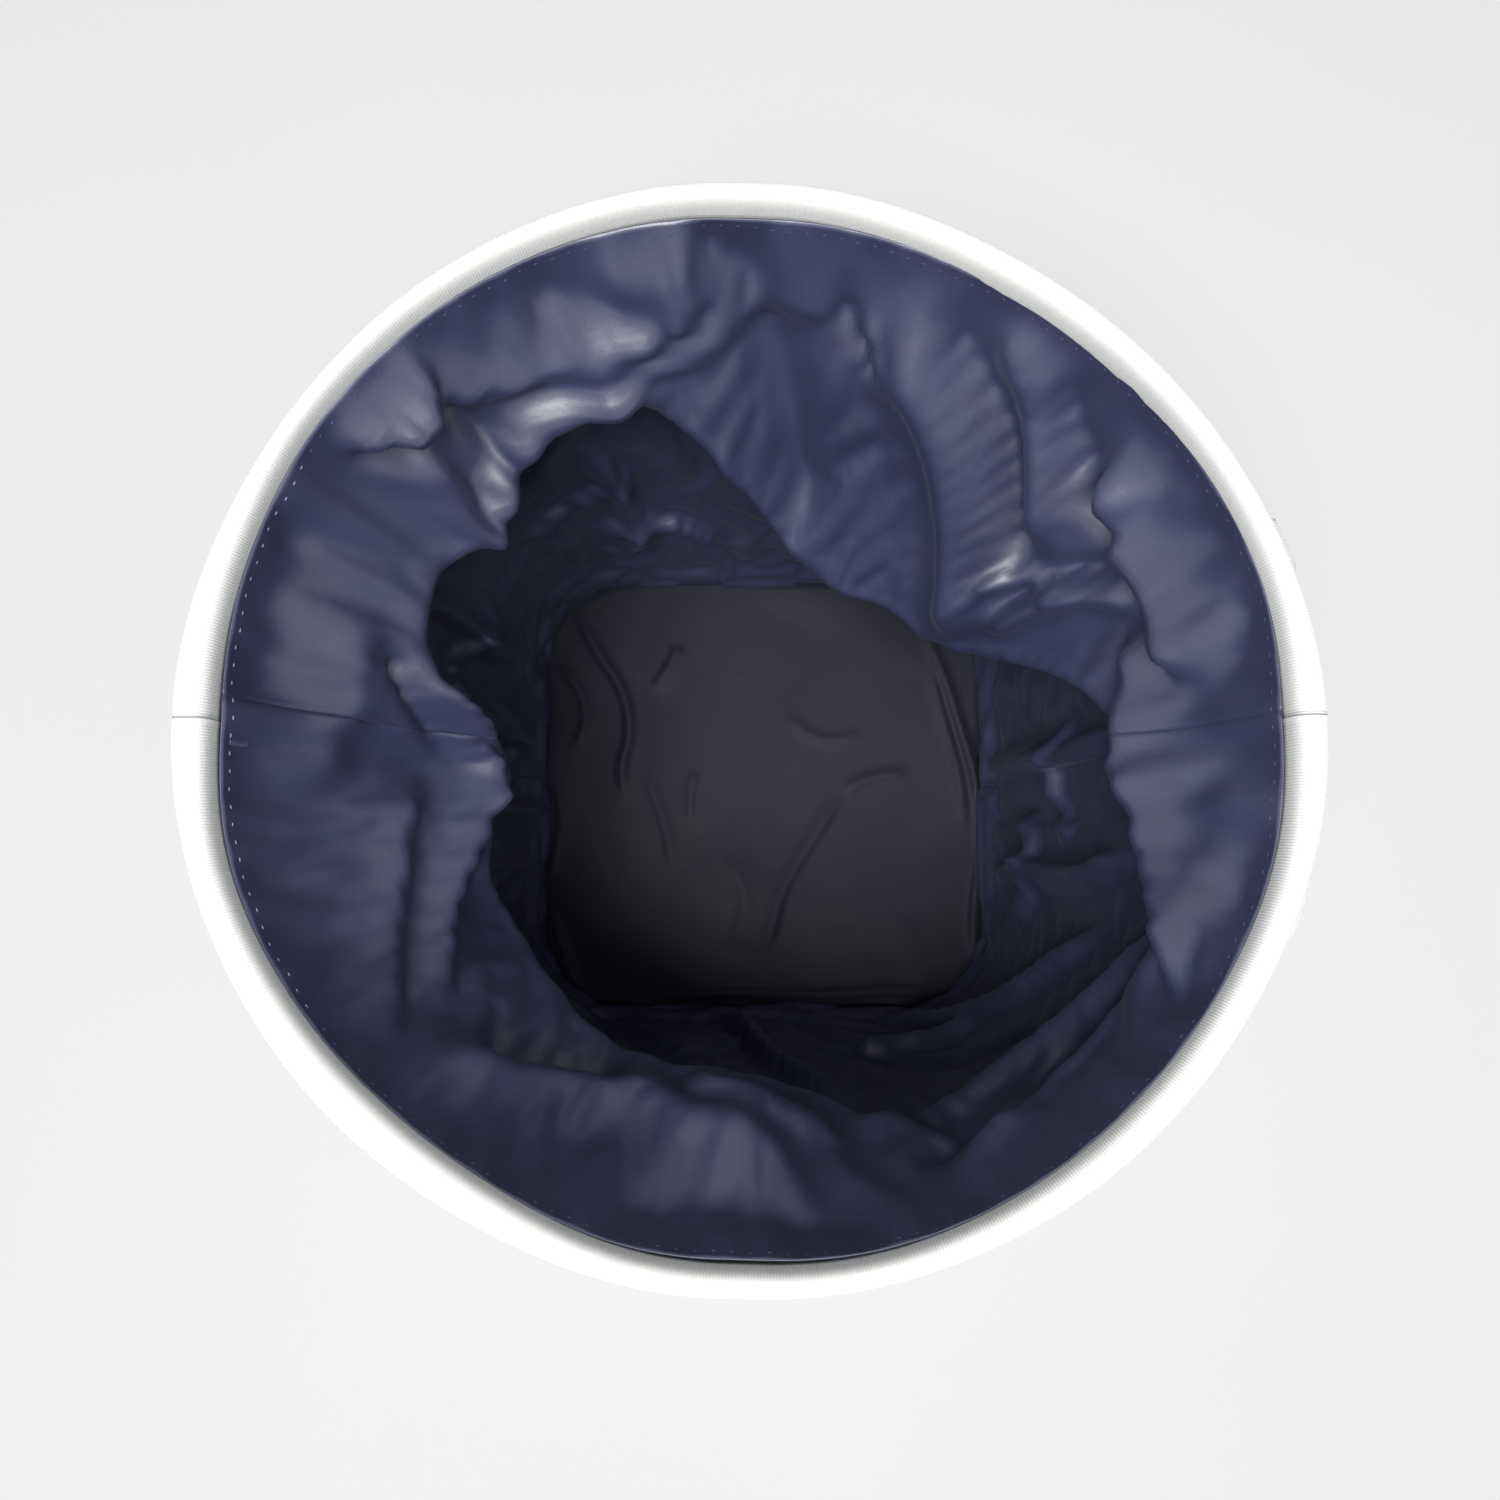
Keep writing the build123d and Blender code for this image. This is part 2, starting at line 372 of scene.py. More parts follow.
def hem_points(angles, shrink=0.0):
    """Rings of the roll's section: a squashed, rounded tube."""
    tall = HEIGHT - HEM_BOTTOM
    width = hem_width(angles)[:, None]
    turn = np.arange(HEM_RING) / HEM_RING * TURN
    power = 0.72
    across = np.sign(np.cos(turn)) * np.abs(np.cos(turn)) ** power
    up = np.sign(np.sin(turn)) * np.abs(np.sin(turn)) ** power
    inset = width / 2 - (width / 2 - shrink) * across[None, :]
    z = HEM_BOTTOM + tall / 2 + (tall / 2 - shrink) * up[None, :] + 0 * inset
    outline = outline_radius(angles[:, None], HEIGHT + 0 * inset, inset)
    radius = outline + drift(angles[:, None], HEIGHT + 0 * inset)
    c, s = np.cos(angles)[:, None], np.sin(angles)[:, None]
    return np.stack([radius * c, radius * s, z], axis=-1)


def tube(name, rings, caps=True):
    """Closed tube from rings[step, point]; u runs along it, v round it."""
    steps, points = rings.shape[:2]
    faces = grid_faces(steps, points, closed=True)
    if caps:
        faces.append(tuple(range(points)))
        faces.append(tuple((steps - 1) * points + i for i in reversed(range(points))))
    along = np.linalg.norm(np.diff(rings.mean(axis=1), axis=0), axis=1)
    u = np.concatenate([[0], np.cumsum(along)])
    girth = np.linalg.norm(rings[0] - np.roll(rings[0], 1, axis=0), axis=1).sum()
    v = np.arange(points) / points * girth
    uvs = np.stack(np.meshgrid(u, v, indexing="ij"), axis=-1).reshape(-1, 2)
    return make_object(name, rings.reshape(-1, 3), faces, uvs)


def build_rim():
    for side, first in (("front", math.pi), ("back", 0.0)):
        gap = 0.0004
        angles = np.linspace(first + gap, first + math.pi - gap, HEM_AROUND)
        hem = tube(f"hem_{side}", hem_points(angles))
        dress(hem, CANVAS_WHITE)
        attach(hem, "bin")
        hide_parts(f"rim_hem_{side}")
    angles = np.arange(HEM_AROUND) / HEM_AROUND * TURN
    rings = hem_points(angles, 0.0015)
    rings = np.concatenate([rings, rings[:1]])
    filler = tube("filler_cord", rings, caps=False)
    dress(filler, FILLER_COTTON)
    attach(filler, "bin")
    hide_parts("rim_filler")


build_rim()


# ---- Cloth solver: grid points that keep their thread lengths while they settle ----
# Links of the grid: rows down, columns across, share of the error mended in a pass
LINKS = [(1, 0, 0.8), (0, 1, 0.8), (1, 1, 0.3), (1, -1, 0.3), (2, 0, 0.12), (0, 2, 0.12)]
WRAP = 2
SPEED_KEPT = 0.85
HELD = 0.03          # share of the way back to where it hung, in a step
WEIGHT = np.array([0, 0, -0.00003])


def wrapped(points):
    """A closed grid with its first and last columns repeated past each end."""
    return np.concatenate([points[:, -WRAP:], points, points[:, :WRAP]], axis=1)


def link_ends(points, down, across):
    rows, columns = points.shape[:2]
    first = (slice(0, rows - down), slice(max(0, -across), columns - max(0, across)))
    second = (slice(down, rows), slice(max(0, across), columns - max(0, -across)))
    return first, second


def link_lengths(points, down, across):
    first, second = link_ends(points, down, across)
    return np.linalg.norm(points[second] - points[first], axis=2)


def mend_links(points, rest, down, across, share):
    """Moves both ends of every link towards its rest length."""
    first, second = link_ends(points, down, across)
    gap = points[second] - points[first]
    length = np.maximum(np.linalg.norm(gap, axis=2), 1e-6)
    pull = (0.5 * share * (1 - rest / length))[..., None] * gap
    move = np.zeros_like(points)
    move[first] += pull
    move[second] -= pull
    return move


def settle(points, free, rests, steps, passes, hung, keep_out, closed):
    """Lets the cloth fall and buckle near where it hung; keep_out moves points out of solids."""
    before = points.copy()
    for _ in range(steps):
        move = (points - before) * SPEED_KEPT + (hung - points) * HELD + WEIGHT
        before = points.copy()
        points = points + free * move
        for _ in range(passes):
            for (down, across, share), rest in zip(LINKS, rests):
                cloth = wrapped(points) if closed else points
                move = mend_links(cloth, rest, down, across, share)
                points = points + free * (move[:, WRAP:-WRAP] if closed else move)
        points = keep_out(points)
    return points


def rest_lengths(points, growth_down, growth_across, closed):
    cloth = wrapped(points) if closed else points
    rests = []
    for down, across, _ in LINKS:
        growth = (growth_down + growth_across) / 2
        if not across:
            growth = growth_down
        elif not down:
            growth = growth_across
        rests.append(link_lengths(cloth, down, across) * (1 + growth))
    return rests


# ---- Slack lining of the wall ----
LINING_TOP = HEIGHT - SEWN_DOWN
LINING_FOOT = BOARD_TOP + 0.0012
LINING_AROUND = 512
LINING_DOWN = 176

# Lower edge of the slack that hangs in from the rim: angle in degrees from +X,
# height and distance in from the shell, in millimetres.
SLACK_EDGE = [
    (0, 260, 27), (11, 238, 37), (20, 210, 48), (29, 196, 62), (41, 188, 70), (60, 188, 72),
    (80, 198, 58), (89, 214, 48), (97, 237, 40), (103, 252, 34), (110, 266, 26), (118, 264, 25),
    (126, 256, 29), (135, 249, 33), (143, 248, 34), (150, 256, 34), (160, 260, 38), (169, 252, 45),
    (175, 234, 54), (183, 200, 52), (193, 214, 52), (203, 220, 46), (212, 202, 44), (222, 206, 44),
    (238, 214, 38), (256, 227, 34), (270, 234, 30), (283, 222, 20), (292, 237, 13), (305, 280, 10),
    (325, 278, 13), (340, 272, 21), (351, 264, 26),
]
UNDERCUT = 0.016

# Where the rivets' inner caps have left their round marks: degrees, millimetres high
PRESS_MARKS = [(198, 281), (158, 291), (343, 302), (18, 303)]
PRESS_RADIUS = 4.5
PRESS_TALL = 1.0
LOW_INSET = 0.0075

# Folds of the slack lining. Each has how far it stands in from the cloth round it (below
# zero, a valley), its half width on the left and on the right of its line, all in
# millimetres, and the line, as (degrees from +X, millimetres above the ground). Left and
# right are those of a map with degrees to the right and height up.
FOLDS = [
    # the big lobe of the back right
    (14, 13, 17, [(75, 295), (66, 279), (57, 262), (48, 240), (38, 219), (28, 200)]),
    (-10, 12, 12, [(90, 294), (87, 268), (84, 245), (81, 224), (74, 206)]),
    (-10, 4, 8, [(68, 299), (60, 284), (50, 267), (42, 248), (31, 234)]),
    (8, 7, 8, [(60, 304), (50, 293), (44, 275), (38, 258), (34, 244)]),
    (-8, 4, 6, [(50, 298), (42, 281), (36, 273), (26, 271)]),
    (4, 3, 3, [(38, 273), (34, 283), (30, 293)]),
    (11, 2.5, 13, [(38, 300), (34, 283), (20, 273), (4, 285)]),
    (-3, 4, 4, [(27, 300), (15, 304), (9, 298), (4, 288)]),
    (-5, 2.5, 2.5, [(80, 289), (74, 278), (70, 266)]),
    (3, 2, 2, [(76, 289), (72, 279), (68, 270)]),
    (-2, 2.5, 2.5, [(70, 308), (50, 306), (30, 306), (12, 304), (0, 303)]),
    (6, 4, 4, [(27, 212), (27, 231), (24, 255), (18, 269)]),
    (-6, 3, 4, [(32, 218), (31, 235), (28, 254), (23, 265)]),
    (5, 3, 3, [(37, 228), (30, 240), (23, 252)]),
    (9, 3, 10, [(18, 267), (8, 262), (-4, 261), (-12, 240)]),
    # the back wall and its long sweeping fold
    (-7, 5, 6, [(97, 309), (91, 298), (88, 282)]),
    (5, 10, 8, [(110, 302), (102, 302), (95, 300)]),
    (8, 12, 3, [(91, 301), (100, 285), (111, 278), (124, 280), (135, 291), (149, 306)]),
    (5, 9, 4, [(76, 286), (88, 280), (97, 274), (108, 270), (120, 265)]),
    (-4, 5, 5, [(119, 302), (108, 290), (99, 286)]),
    # the pointed flap and the arch over the far corner
    (8, 8, 2, [(130, 308), (133, 300), (136, 293), (146, 303)]),
    (-5, 4, 5, [(135, 292), (130, 270), (132, 250)]),
    (7, 12, 4, [(138, 289), (140, 263), (144, 220)]),
    (9, 4, 4, [(145, 170), (143, 240), (137, 250), (128, 262), (118, 267), (109, 268), (100, 255)]),
    (3, 2.5, 2.5, [(138, 246), (130, 255), (122, 260), (114, 265)]),
    (-3, 3, 3, [(133, 171), (126, 196), (119, 222)]),
    (-5, 4, 4, [(108, 254), (102, 200), (99, 140)]),
    (5, 3, 3, [(97, 245), (93, 200), (91, 130)]),
    (7, 4, 4, [(118, 60), (115, 120), (118, 190)]),
    (6, 3, 6, [(98, 80), (110, 110), (126, 95)]),
    (5, 3, 5, [(112, 160), (122, 140), (136, 130)]),
    (-4, 4, 4, [(127, 40), (123, 90), (126, 150)]),
    # the left wall, its seam and the crumpled cloth under it
    (-4, 9, 9, [(152, 300), (166, 298), (180, 293)]),
    (4, 8, 8, [(160, 282), (176, 275), (190, 282)]),
    (6, 4, 4, [(167, 258), (175, 234), (178, 180)]),
    (-6, 3, 3, [(164, 268), (173, 257), (181, 228)]),
    (6, 3, 3, [(176, 246), (182, 216), (194, 222)]),
    (-5, 3, 3, [(182, 214), (190, 206), (196, 224)]),
    (7, 12, 4, [(184, 244), (192, 254), (207, 262), (222, 290)]),
    (8, 10, 3, [(177, 223), (186, 216), (204, 233), (222, 258)]),
    (8, 4, 4, [(150, 50), (155, 110), (152, 180), (158, 230)]),
    (-6, 4, 4, [(160, 40), (163, 100), (160, 170)]),
    (8, 4, 4, [(168, 30), (170, 80), (167, 140), (172, 200)]),
    (-6, 3, 3, [(176, 40), (178, 90), (175, 140)]),
    (8, 4, 4, [(185, 30), (187, 90), (184, 150)]),
    (7, 3, 6, [(146, 120), (158, 150), (170, 130)]),
    (6, 5, 3, [(160, 90), (172, 70), (186, 95)]),
    (6, 3, 5, [(178, 170), (188, 130), (200, 110)]),
    (5, 4, 4, [(196, 40), (200, 90), (206, 140)]),
    # the front: two lazy rolls
    (8, 12, 12, [(222, 298), (232, 270), (243, 253), (253, 249), (264, 264), (280, 268)]),
    (-7, 10, 10, [(227, 262), (238, 240), (250, 232)]),
    (-4, 6, 8, [(250, 294), (263, 288), (276, 292), (288, 300)]),
    (5, 6, 6, [(257, 238), (268, 248), (284, 247)]),
    (7, 10, 4, [(283, 242), (307, 206), (324, 228), (340, 271)]),
    (6, 9, 4, [(292, 288), (316, 251), (334, 277)]),
    (-5, 5, 5, [(290, 268), (308, 236), (322, 238)]),
    (8, 5, 5, [(262, 30), (268, 90), (275, 150), (290, 200)]),
    (-6, 5, 5, [(275, 30), (285, 80), (300, 140), (318, 190)]),
    (8, 5, 5, [(300, 30), (308, 90), (322, 150), (335, 200)]),
    (6, 4, 4, [(240, 60), (252, 100), (266, 90)]),
    (6, 4, 6, [(284, 110), (298, 90), (312, 120)]),
    # the right wall
    (10, 3, 13, [(-1, 262), (-9, 268), (-17, 273), (-34, 296)]),
    (-4, 3, 3, [(-36, 293), (-20, 300), (-10, 307)]),
    (3, 6, 6, [(-4, 298), (-16, 293), (-26, 294)]),
    (9, 4, 4, [(-22, 40), (-18, 100), (-20, 160), (-14, 220)]),
    (-7, 4, 4, [(-8, 30), (-6, 100), (-9, 180), (-4, 230)]),
    (9, 4, 4, [(4, 30), (5, 90), (2, 160), (6, 210)]),
    (7, 5, 3, [(-30, 80), (-18, 110), (-4, 95)]),
    (6, 3, 5, [(-14, 150), (-2, 130), (10, 150)]),
]
PER_DEGREE = 2.3    # millimetres of lining in one degree


def rounded_line(path):
    """The path with its corners cut twice."""
    line = np.array(path, float)
    for _ in range(2):
        quarter = 0.75 * line[:-1] + 0.25 * line[1:]
        three = 0.25 * line[:-1] + 0.75 * line[1:]
        line = np.concatenate([line[:1], np.stack([quarter, three], axis=1).reshape(-1, 2), line[-1:]])
    return line


def fold_shape(x, y, left, right, path, around=1e6):
    """One at the fold's line, fading to its sides and ends; x repeats after around."""
    line = rounded_line(path)
    runs = np.diff(line, axis=0)
    lengths = np.hypot(*runs.T)
    starts = np.concatenate([[0], np.cumsum(lengths)])
    nearest = np.full(x.shape, 1e9)
    side = np.zeros(x.shape)
    place = np.zeros(x.shape)
    for (line_x, line_y), run, length, start in zip(line, runs, lengths, starts):
        over = (x - line_x + around / 2) % around - around / 2
        up = y - line_y
        at = np.clip((over * run[0] + up * run[1]) / length**2, 0, 1)
        away = np.hypot(over - at * run[0], up - at * run[1])
        closer = away < nearest
        nearest = np.where(closer, away, nearest)
        side = np.where(closer, run[0] * up - run[1] * over, side)
        place = np.where(closer, (start + at * length) / starts[-1], place)
    width = np.where(side > 0, left, right)
    ends = smoothstep(place / 0.2) * smoothstep((1 - place) / 0.2)
    return np.exp(-((nearest / width) ** 1.7)) * ends


def fold_stand(points):
    """How far all the folds together move each point in from the wall."""
    x = np.degrees(np.arctan2(points[..., 1], points[..., 0])) * PER_DEGREE
    height = points[..., 2] / MM
    stand = np.zeros(x.shape)
    for size, left, right, path in FOLDS:
        line = [(degrees * PER_DEGREE, mm) for degrees, mm in path]
        stand += size * fold_shape(x, height, left, right, line, 360 * PER_DEGREE)
    for degrees, mm in PRESS_MARKS:
        off = (x - degrees * PER_DEGREE + 180 * PER_DEGREE) % (360 * PER_DEGREE) - 180 * PER_DEGREE
        stand += PRESS_TALL * smoothstep(2 * (1 - np.hypot(off, height - mm) / PRESS_RADIUS))
    sewn = smoothstep((LINING_TOP - points[..., 2]) / 0.012)
    foot = smoothstep((points[..., 2] - LINING_FOOT) / 0.02)
    return stand * MM * sewn * foot


def lining_inset(angle, z):
    """How far the slack lining stands in from the shell."""
    edge_z = round_the_bin(SLACK_EDGE, 1, angle, 3.0) * MM
    edge_in = round_the_bin(SLACK_EDGE, 2, angle, 3.0) * MM
    top_in = hem_width(angle)
    fall = np.clip((LINING_TOP - z) / (LINING_TOP - edge_z), 0, 1)
    above = top_in + (edge_in - top_in) * fall**1.25
    tuck = smoothstep((edge_z - z) / UNDERCUT)
    below = edge_in + (LOW_INSET - edge_in) * tuck
    foot = smoothstep(1 - (z - LINING_FOOT) / 0.03)
    inset = np.where(z > edge_z, above, below)
    return inset + (LINING_INSET + 0.001 - inset) * foot


def even_profile(angle, rows):
    """Points down the lining at one angle, evenly spaced along the cloth."""
    z = np.linspace(LINING_TOP, LINING_FOOT, 600)
    line = wall_point(np.full_like(z, angle), z, lining_inset(np.full_like(z, angle), z))
    step = np.linalg.norm(np.diff(line, axis=0), axis=1)
    along = np.concatenate([[0], np.cumsum(step)])
    at = np.linspace(0, along[-1], rows)
    return np.stack([np.interp(at, along, line[:, k]) for k in range(3)], axis=1)


def inside_the_wall(points):
    """Keeps the lining inside the felt and above the board."""
    x, y, z = points[..., 0], points[..., 1], np.maximum(points[..., 2], LINING_FOOT)
    angle = np.arctan2(y, x)
    radius = np.hypot(x, y)
    limit = outline_radius(angle, z, LINING_INSET) + drift(angle, z)
    scale = np.minimum(1, limit / np.maximum(radius, 1e-6))
    return np.stack([x * scale, y * scale, z], axis=-1)


def folded_wall():
    """The lining as it hangs, with its folds, before it settles."""
    angles = np.arange(LINING_AROUND) / LINING_AROUND * TURN
    grid = np.stack([even_profile(a, LINING_DOWN) for a in angles], axis=1)
    radius = np.hypot(grid[..., 0], grid[..., 1])
    grid[..., :2] *= (1 - fold_stand(grid) / radius)[..., None]
    return inside_the_wall(grid)


def smooth_noise(shape, cells, seed):
    """Seeded noise that changes over a few cells of a closed grid."""
    noise = np.random.default_rng(seed).normal(0, 1, shape)
    for axis, size in ((0, shape[0]), (1, shape[1])):
        wave = np.fft.fftfreq(size) * cells
        blur = np.exp(-(wave**2) * 8).reshape([-1, 1] if axis == 0 else [1, -1])
        noise = np.fft.ifft(np.fft.fft(noise, axis=axis) * blur, axis=axis).real
    return noise / noise.std()


def resampled(grid, rows, columns):
    """A closed grid with other counts of rows and columns, smoothly in between."""
    down = np.linspace(0, grid.shape[0] - 1, rows)
    across = np.arange(columns) / columns * grid.shape[1]
    row = np.minimum(down.astype(int), grid.shape[0] - 2)
    share = (down - row)[:, None, None]
    before, after = grid[np.maximum(row - 1, 0)], grid[np.minimum(row + 2, grid.shape[0] - 1)]
    tall = smooth_blend(before, grid[row], grid[row + 1], after, share)
    column = across.astype(int)
    share = (across - column)[None, :, None]
    around = [tall[:, (column + k) % grid.shape[1]] for k in (-1, 0, 1, 2)]
    return smooth_blend(*around, share)


def smooth_blend(a, b, c, d, t):
    """Catmull-Rom curve from b to c."""
    return b + t / 2 * ((c - a) + t * ((2 * a - 5 * b + 4 * c - d) + t * (3 * (b - c) + d - a)))


# Rounds of settling, coarse to fine: rows, columns, how much longer the cloth is than the
# place it hangs in, down and across, and steps
ROUNDS = [(60, 176, 0.014, 0.024, 45), (120, 352, 0.005, 0.009, 24), (176, 512, 0.003, 0.005, 14)]


def build_lining_wall():
    grid = folded_wall()
    for index, (rows, columns, longer, wider, steps) in enumerate(ROUNDS):
        grid = resampled(grid, rows, columns)
        free = np.ones(grid.shape[:2] + (1,))
        free[[0, -1]] = 0.0
        rests = rest_lengths(grid, longer, wider, closed=True)
        radius = np.hypot(grid[..., 0], grid[..., 1])
        nudge = 0.001 / (index + 1) * smooth_noise(grid.shape[:2], 4, index) / radius
        start = grid.copy()
        start[..., :2] *= 1 - nudge[..., None] * free
        grid = settle(start, free, rests, steps, 8, grid, inside_the_wall, closed=True)
    return inside_the_wall(resampled(grid, LINING_DOWN, LINING_AROUND))


def panel(name, grid, first, last):
    """The columns first..last of a closed grid, as an open sheet."""
    columns = np.arange(first, last + 1) % grid.shape[1]
    return grid_object(name, grid[:, columns])


RIGHT_SEAM, LEFT_SEAM = 1, 252    # columns of the grid


def build_lining():
    halves = {"back": (RIGHT_SEAM, LEFT_SEAM), "front": (LEFT_SEAM, RIGHT_SEAM + LINING_AROUND)}
    for side, (first, last) in halves.items():
        piece = panel(f"lining_{side}", lining_grid, first, last)
        add_modifier(piece, "SOLIDIFY", thickness=LINING, offset=1.0)
        dress(piece, LINING_SATIN)
        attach(piece, "bin")
        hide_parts(f"lining_{side}_panel")


lining_grid = build_lining_wall()
build_lining()


# ---- Lining of the base ----
FLOOR_CELLS = 150
CREASE_SHARE = 0.7

# Creases: how far they stand, half widths left and right, and the line as (x, y), all in mm
CREASES = [
    (2.2, 2, 5, [(41, 0), (28, -20), (10, -48), (5, -70), (-2, -86)]),
    (4, 3, 2, [(-96, 96), (-86, 74), (-70, 52), (-66, 30), (-72, 12), (-68, -6)]),
    (2.2, 4, 2, [(-42, 76), (-48, 62), (-56, 52)]),
    (1.6, 2, 3, [(-33, 12), (-36, 0), (-36, -16)]),
    (1.4, 3, 2, [(0, 80), (-6, 66), (-14, 54)]),
    (3.4, 3, 1.6, [(74, 98), (90, 62), (98, 36), (108, 0), (109, -30), (103, -62), (106, -100)]),
    (2.0, 1.6, 3, [(84, 70), (90, 40), (99, 10), (101, -20)]),
    (1.8, 3, 3, [(39, 0), (54, 8), (74, 10)]),
    (2.6, 3, 2, [(-104, 66), (-92, 52), (-88, 36), (-96, 20)]),
    (2.4, 3, 2, [(-106, 8), (-99, -12), (-107, -44)]),
    (3.0, 2, 4, [(-106, -56), (-100, -74), (-90, -100), (-78, -106)]),
    (1.4, 4, 2, [(-60, 10), (-50, -12), (-44, -40)]),
    (1.2, 3, 3, [(10, 40), (30, 24), (52, 30)]),
    (1.2, 5, 3, [(-20, -30), (-6, -52), (-16, -80)]),
    (2.4, 2, 3, [(-60, -102), (-20, -98), (30, -100), (70, -96), (100, -102)]),
    (1.0, 6, 4, [(20, -70), (50, -60), (80, -70)]),
]


def square_to_outline(a, b, inset):
    """Maps the unit square to the base outline, keeping its cells even."""
    angle = np.arctan2(b, a)
    reach = np.maximum(np.abs(a), np.abs(b))
    radius = outline_radius(angle, LINING_FOOT, inset) * reach
    return radius * np.cos(angle), radius * np.sin(angle)


def unit_square(cells):
    line = np.linspace(-1, 1, cells)
    return np.meshgrid(line, line[::-1])


def build_floor_lining():
    a, b = unit_square(FLOOR_CELLS)
    x, y = square_to_outline(a, b, LINING_INSET + PLY_GAP)
    rise = 0.5 + 0.5 * smooth_noise(x.shape, 14, 9)
    for size, left, right, path in CREASES:
        rise = rise + CREASE_SHARE * size * fold_shape(x / MM, y / MM, left, right, path)
    ends = smoothstep((1 - np.maximum(np.abs(a), np.abs(b))) / 0.03)
    z = BOARD_TOP + 2 * LINING + np.maximum(rise, 0) * MM * ends
    piece = grid_object("lining_floor", np.stack([x, y, z], axis=-1))
    add_modifier(piece, "SOLIDIFY", thickness=LINING, offset=-1.0)
    # The base panel wears the painted-shade copy of the lining satin.
    dress(piece, FLOOR_SATIN_SHADED)
    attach(piece, "bin")
    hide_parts("lining_base_panel")


build_floor_lining()


# ---- Stitches ----
STITCH_RINGS = [(0.0, 0.35, -0.3), (0.2, 0.9, 0.4), (0.5, 1.0, 0.8), (0.8, 0.9, 0.4), (1.0, 0.35, -0.3)]
STITCH_SIDES = 6

# Half thickness of the thread, length of a stitch and distance from one to the next
RIM_SEWING = (0.00028, 0.0016, 0.0048)
SHELL_SEWING = (0.00032, 0.0028, 0.0040)
STRAP_SEWING = (0.0003, 0.0022, 0.0032)
GRIP_SEWING = (0.0003, 0.0026, 0.0036)


def stitch_mesh(starts, ends, normals, thick):
    """Points and faces of short thread humps from each start to its end."""
    points, faces = [], []
    turn = np.arange(STITCH_SIDES) / STITCH_SIDES * TURN
    for start, end, normal in zip(starts, ends, normals):
        side = np.cross(end - start, normal)
        side /= np.linalg.norm(side)
        first = len(points)
        for along, fat, lift in STITCH_RINGS:
            middle = start + (end - start) * along + normal * thick * lift
            for t in turn:
                points.append(middle + thick * fat * (math.cos(t) * side + math.sin(t) * normal))
        last = first + (len(STITCH_RINGS) - 1) * STITCH_SIDES
        hump = grid_faces(len(STITCH_RINGS), STITCH_SIDES, closed=True)
        faces += [tuple(first + i for i in face) for face in hump]
        faces.append(tuple(first + i for i in range(STITCH_SIDES)))
        faces.append(tuple(last + i for i in reversed(range(STITCH_SIDES))))
    return points, faces


def sew(name, lines, thick, length, pitch, material):
    """One mesh of stitches along lines of (points, normals)."""
    points, faces = [], []
    for line, normals in lines:
        along = np.concatenate([[0], np.cumsum(np.linalg.norm(np.diff(line, axis=0), axis=1))])
        starts_at = np.arange(0.5 * (pitch - length), along[-1] - length, pitch)

        def at(where, values):
            return np.stack([np.interp(where, along, values[:, k]) for k in range(3)], axis=1)

        start, end, normal = at(starts_at, line), at(starts_at + length, line), at(starts_at, normals)
        normal /= np.linalg.norm(normal, axis=1)[:, None]
        more_points, more_faces = stitch_mesh(start, end, normal, thick)
        faces += [tuple(len(points) + i for i in face) for face in more_faces]
        points += more_points
    piece = make_object(name, points, faces)
    dress(piece, material)
    return piece


# Columns of the lining's grid that each thread runs along
RIM_THREADS = [
    # The left run uses the lighter copy of the navy thread, a painted highlight.
    ("rim_stitches_left", (212, 306), THREAD_NAVY_LIT),
    ("rim_stitches", (306, 212 + LINING_AROUND), THREAD_NAVY),
]


def sew_rim():
    """Stitches that hold the lining's edge, just below the roll: at the left they use a lighter copy of the
    navy thread, a painted highlight where the light falls on that side.
    """
    row = lining_grid[2]
    inward = -row * (1, 1, 0)
    inward /= np.linalg.norm(inward, axis=1)[:, None]
    normal = inward * 0.8 + np.array([0, 0, 0.6])
    line = row + normal * 0.0002
    for name, (first, last), material in RIM_THREADS:
        columns = np.arange(first, last + 1) % LINING_AROUND
        stitches = sew(name, [(line[columns], normal[columns])], *RIM_SEWING, material)
        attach(stitches, "bin")
        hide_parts("lining_stitch_line")


BARTACK_COLUMN = 259
BARTACK_LOOPS = 9


def sew_bartack():
    """Dense back and forth of thread beside the left seam."""
    top = lining_grid[2, BARTACK_COLUMN]
    foot = lining_grid[5, BARTACK_COLUMN]
    across = lining_grid[2, BARTACK_COLUMN + 1] - lining_grid[2, BARTACK_COLUMN - 1]
    across /= np.linalg.norm(across)
    normal = np.cross(foot - top, across)
    normal *= -np.sign(normal @ top) / np.linalg.norm(normal)
    steps = np.linspace(0, 1, BARTACK_LOOPS)[:, None]
    middle = top + (foot - top) * steps + normal * 0.0003
    reach = across * 0.0012
    points, faces = stitch_mesh(middle - reach, middle + reach, [normal] * BARTACK_LOOPS, 0.0003)
    tack = make_object("lining_tack", points, faces)
    dress(tack, THREAD_NAVY)
    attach(tack, "bin")
    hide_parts("lining_bartack")


sew_rim()
sew_bartack()


# ---- Outer canvas and felt ----
WALL_AROUND = 200
WALL_DOWN = 64
WELT_WIDE = 0.008
WELT_TALL = 0.0008
BASE_ROLL = 0.0012


def wall_half(name, inset, front, top, bottom):
    first = math.pi if front else 0.0
    angles = np.linspace(first, first + math.pi, WALL_AROUND)
    heights = np.linspace(top, bottom, WALL_DOWN)
    angle_grid, z_grid = np.meshgrid(angles, heights)
    return grid_object(name, wall_point(angle_grid, z_grid, inset))


